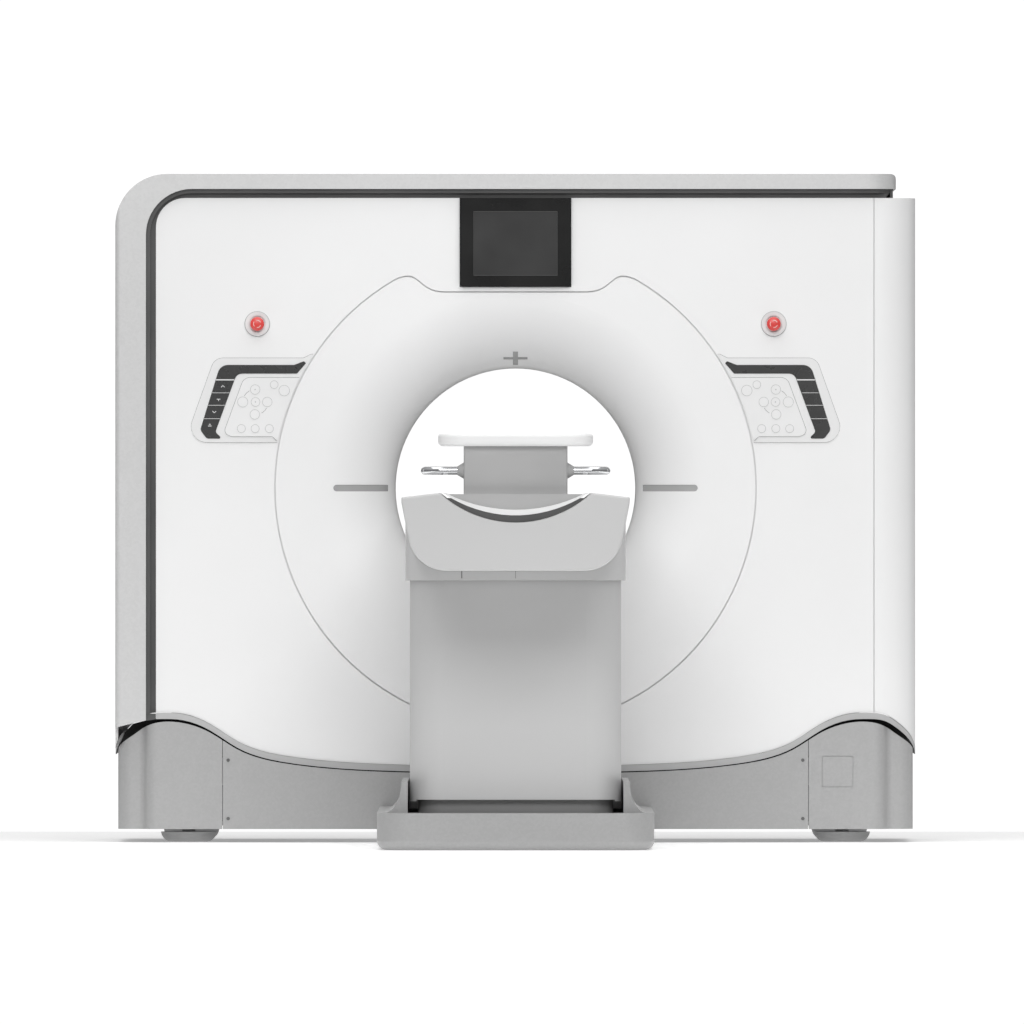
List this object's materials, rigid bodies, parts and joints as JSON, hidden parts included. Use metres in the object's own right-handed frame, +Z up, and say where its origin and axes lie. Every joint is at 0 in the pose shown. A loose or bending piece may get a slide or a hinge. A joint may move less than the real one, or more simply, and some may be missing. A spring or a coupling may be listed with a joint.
{
  "type": "ct scanner",
  "caption": "Computed tomography scanner: a ring-shaped gantry with a spinning rotor inside, and a rising patient table whose cradle slides through the bore.",
  "frame": {"origin": "on the floor, at the middle of the overall box", "axes": "+Z up, +Y from the foot end of the table towards the gantry, +X to the right of someone at the foot end"},
  "size_m": [2.315, 3.3, 1.9325],
  "materials": {
    "cover_white": "satin white paint on moulded cover",
    "hood_silver": "satin pale silver paint",
    "shadow_grey": "matt dark grey",
    "skirt_silver": "satin silver-grey paint",
    "trim_grey": "satin grey",
    "screw_steel": "plain steel",
    "foot_grey": "satin grey",
    "display_black": "gloss black",
    "screen_glass": "dark glass over an unlit panel",
    "laser_grey": "smoked window",
    "window_film": "translucent film",
    "bezel_white": "satin white",
    "touch_dark": "gloss dark grey",
    "key_white": "soft white film",
    "collar_grey": "satin pale grey",
    "stop_red": "gloss red",
    "frame_steel": "grey primer",
    "plate_aluminium": "milled",
    "bearing_steel": "ground steel",
    "guide_chrome": "hard chrome",
    "unit_grey": "grey enamel",
    "unit_black": "black",
    "ring_brass": "turned brass tracks",
    "belt_rubber": "ribbed rubber",
    "plinth_silver": "satin silver-grey paint",
    "inner_grey": "matt grey",
    "glide_nylon": "natural nylon",
    "shroud_white": "satin white powder coat",
    "table_pale": "satin pale grey",
    "rail_dark": "matt dark grey",
    "cradle_white": "satin white laminate",
    "mattress_vinyl": "grey vinyl cover",
    "grip_grey": "satin grey",
    "rest_white": "satin white"
  },
  "bodies": {
    "stand": {"access_plate": "skirt_silver", "base_trim": "trim_grey", "bearing_outer_ring": "bearing_steel", "brush_block": "unit_black", "control_bezel_left": "bezel_white", "control_bezel_right": "bezel_white", "cover_struts": "bearing_steel", "display_bezel": "display_black", "display_housing": "display_black", "display_screen": "screen_glass", "drive_belt": "belt_rubber", "drive_motor": "unit_grey", "estop_collars": "collar_grey", "front_cover": "cover_white", "front_funnel": "cover_white", "gantry_base_frame": "frame_steel", "glide_pads": "glide_nylon", "hood": "hood_silver", "hood_shadow_strip": "shadow_grey", "inner_shroud": "inner_grey", "keypads": "key_white", "laser_windows": "laser_grey", "levelling_feet": "foot_grey", "lift_guides": "guide_chrome", "lift_motor": "unit_grey", "rear_cover": "cover_white", "rear_funnel": "cover_white", "right_side_cover": "cover_white", "scan_window": "window_film", "skirt_centre": "skirt_silver", "skirt_corner_left": "skirt_silver", "skirt_corner_right": "skirt_silver", "skirt_rear": "skirt_silver", "skirt_screws": "screw_steel", "stator_plate": "plate_aluminium", "table_base": "plinth_silver", "touch_strips": "touch_dark"},
    "rotor": {"rotor_disc": "plate_aluminium", "bearing_inner_ring": "bearing_steel", "xray_tube": "unit_grey", "collimator": "bearing_steel", "detector_array": "unit_black", "high_voltage_generator": "unit_grey", "heat_exchanger": "plate_aluminium", "slip_ring": "ring_brass"},
    "pulley": {"motor_pulley": "plate_aluminium"},
    "stop_left": {"estop_cap_left": "stop_red"},
    "stop_right": {"estop_cap_right": "stop_red"},
    "screw": {"lift_screw": "bearing_steel"},
    "shroud": {"pedestal_shroud": "shroud_white"},
    "table_top": {"table_body": "table_pale", "end_cap": "table_pale", "cradle_rail": "rail_dark", "lift_carriage": "frame_steel", "lift_collar": "table_pale"},
    "cradle_body": {"cradle": "cradle_white", "mattress": "mattress_vinyl", "grip_box": "grip_grey", "rest_plate": "rest_white", "grip_loops": "guide_chrome"}
  },
  "joints": [
    {"name": "rotor_spin", "type": "hinge", "parent": "stand", "child": "rotor", "pos_m": [0, 1.1, 1.024], "axis": [0, 1, 0], "continuous": true},
    {"name": "pulley_spin", "type": "hinge", "parent": "stand", "child": "pulley", "pos_m": [0.84, 1.1, 0.33], "axis": [0, 1, 0], "continuous": true},
    {"name": "lift", "type": "slide", "parent": "stand", "child": "table_top", "axis": [0, 0, 1], "range_m": [-0.25, 0]},
    {"name": "shroud_slide", "type": "slide", "parent": "stand", "child": "shroud", "axis": [0, 0, 1], "range_m": [-0.118, 0]},
    {"name": "screw_spin", "type": "hinge", "parent": "stand", "child": "screw", "pos_m": [0, -0.5, 0.3], "axis": [0, 0, 1], "range_deg": [-4520, 10]},
    {"name": "cradle_slide", "type": "slide", "parent": "table_top", "child": "cradle_body", "axis": [0, 1, 0], "range_m": [0, 1.5]},
    {"name": "stop_left_push", "type": "slide", "parent": "stand", "child": "stop_left", "axis": [0, 1, 0], "range_m": [0, 0.006], "stiffness_N_per_m": 2500},
    {"name": "stop_right_push", "type": "slide", "parent": "stand", "child": "stop_right", "axis": [0, 1, 0], "range_m": [0, 0.006], "stiffness_N_per_m": 2500}
  ],
  "couplings": [
    {"joint": "pulley_spin", "follows": "rotor_spin", "ratio": 11},
    {"joint": "shroud_slide", "follows": "lift", "ratio": 0.47},
    {"joint": "screw_spin", "follows": "lift", "rad_per_m": 314.16}
  ]
}
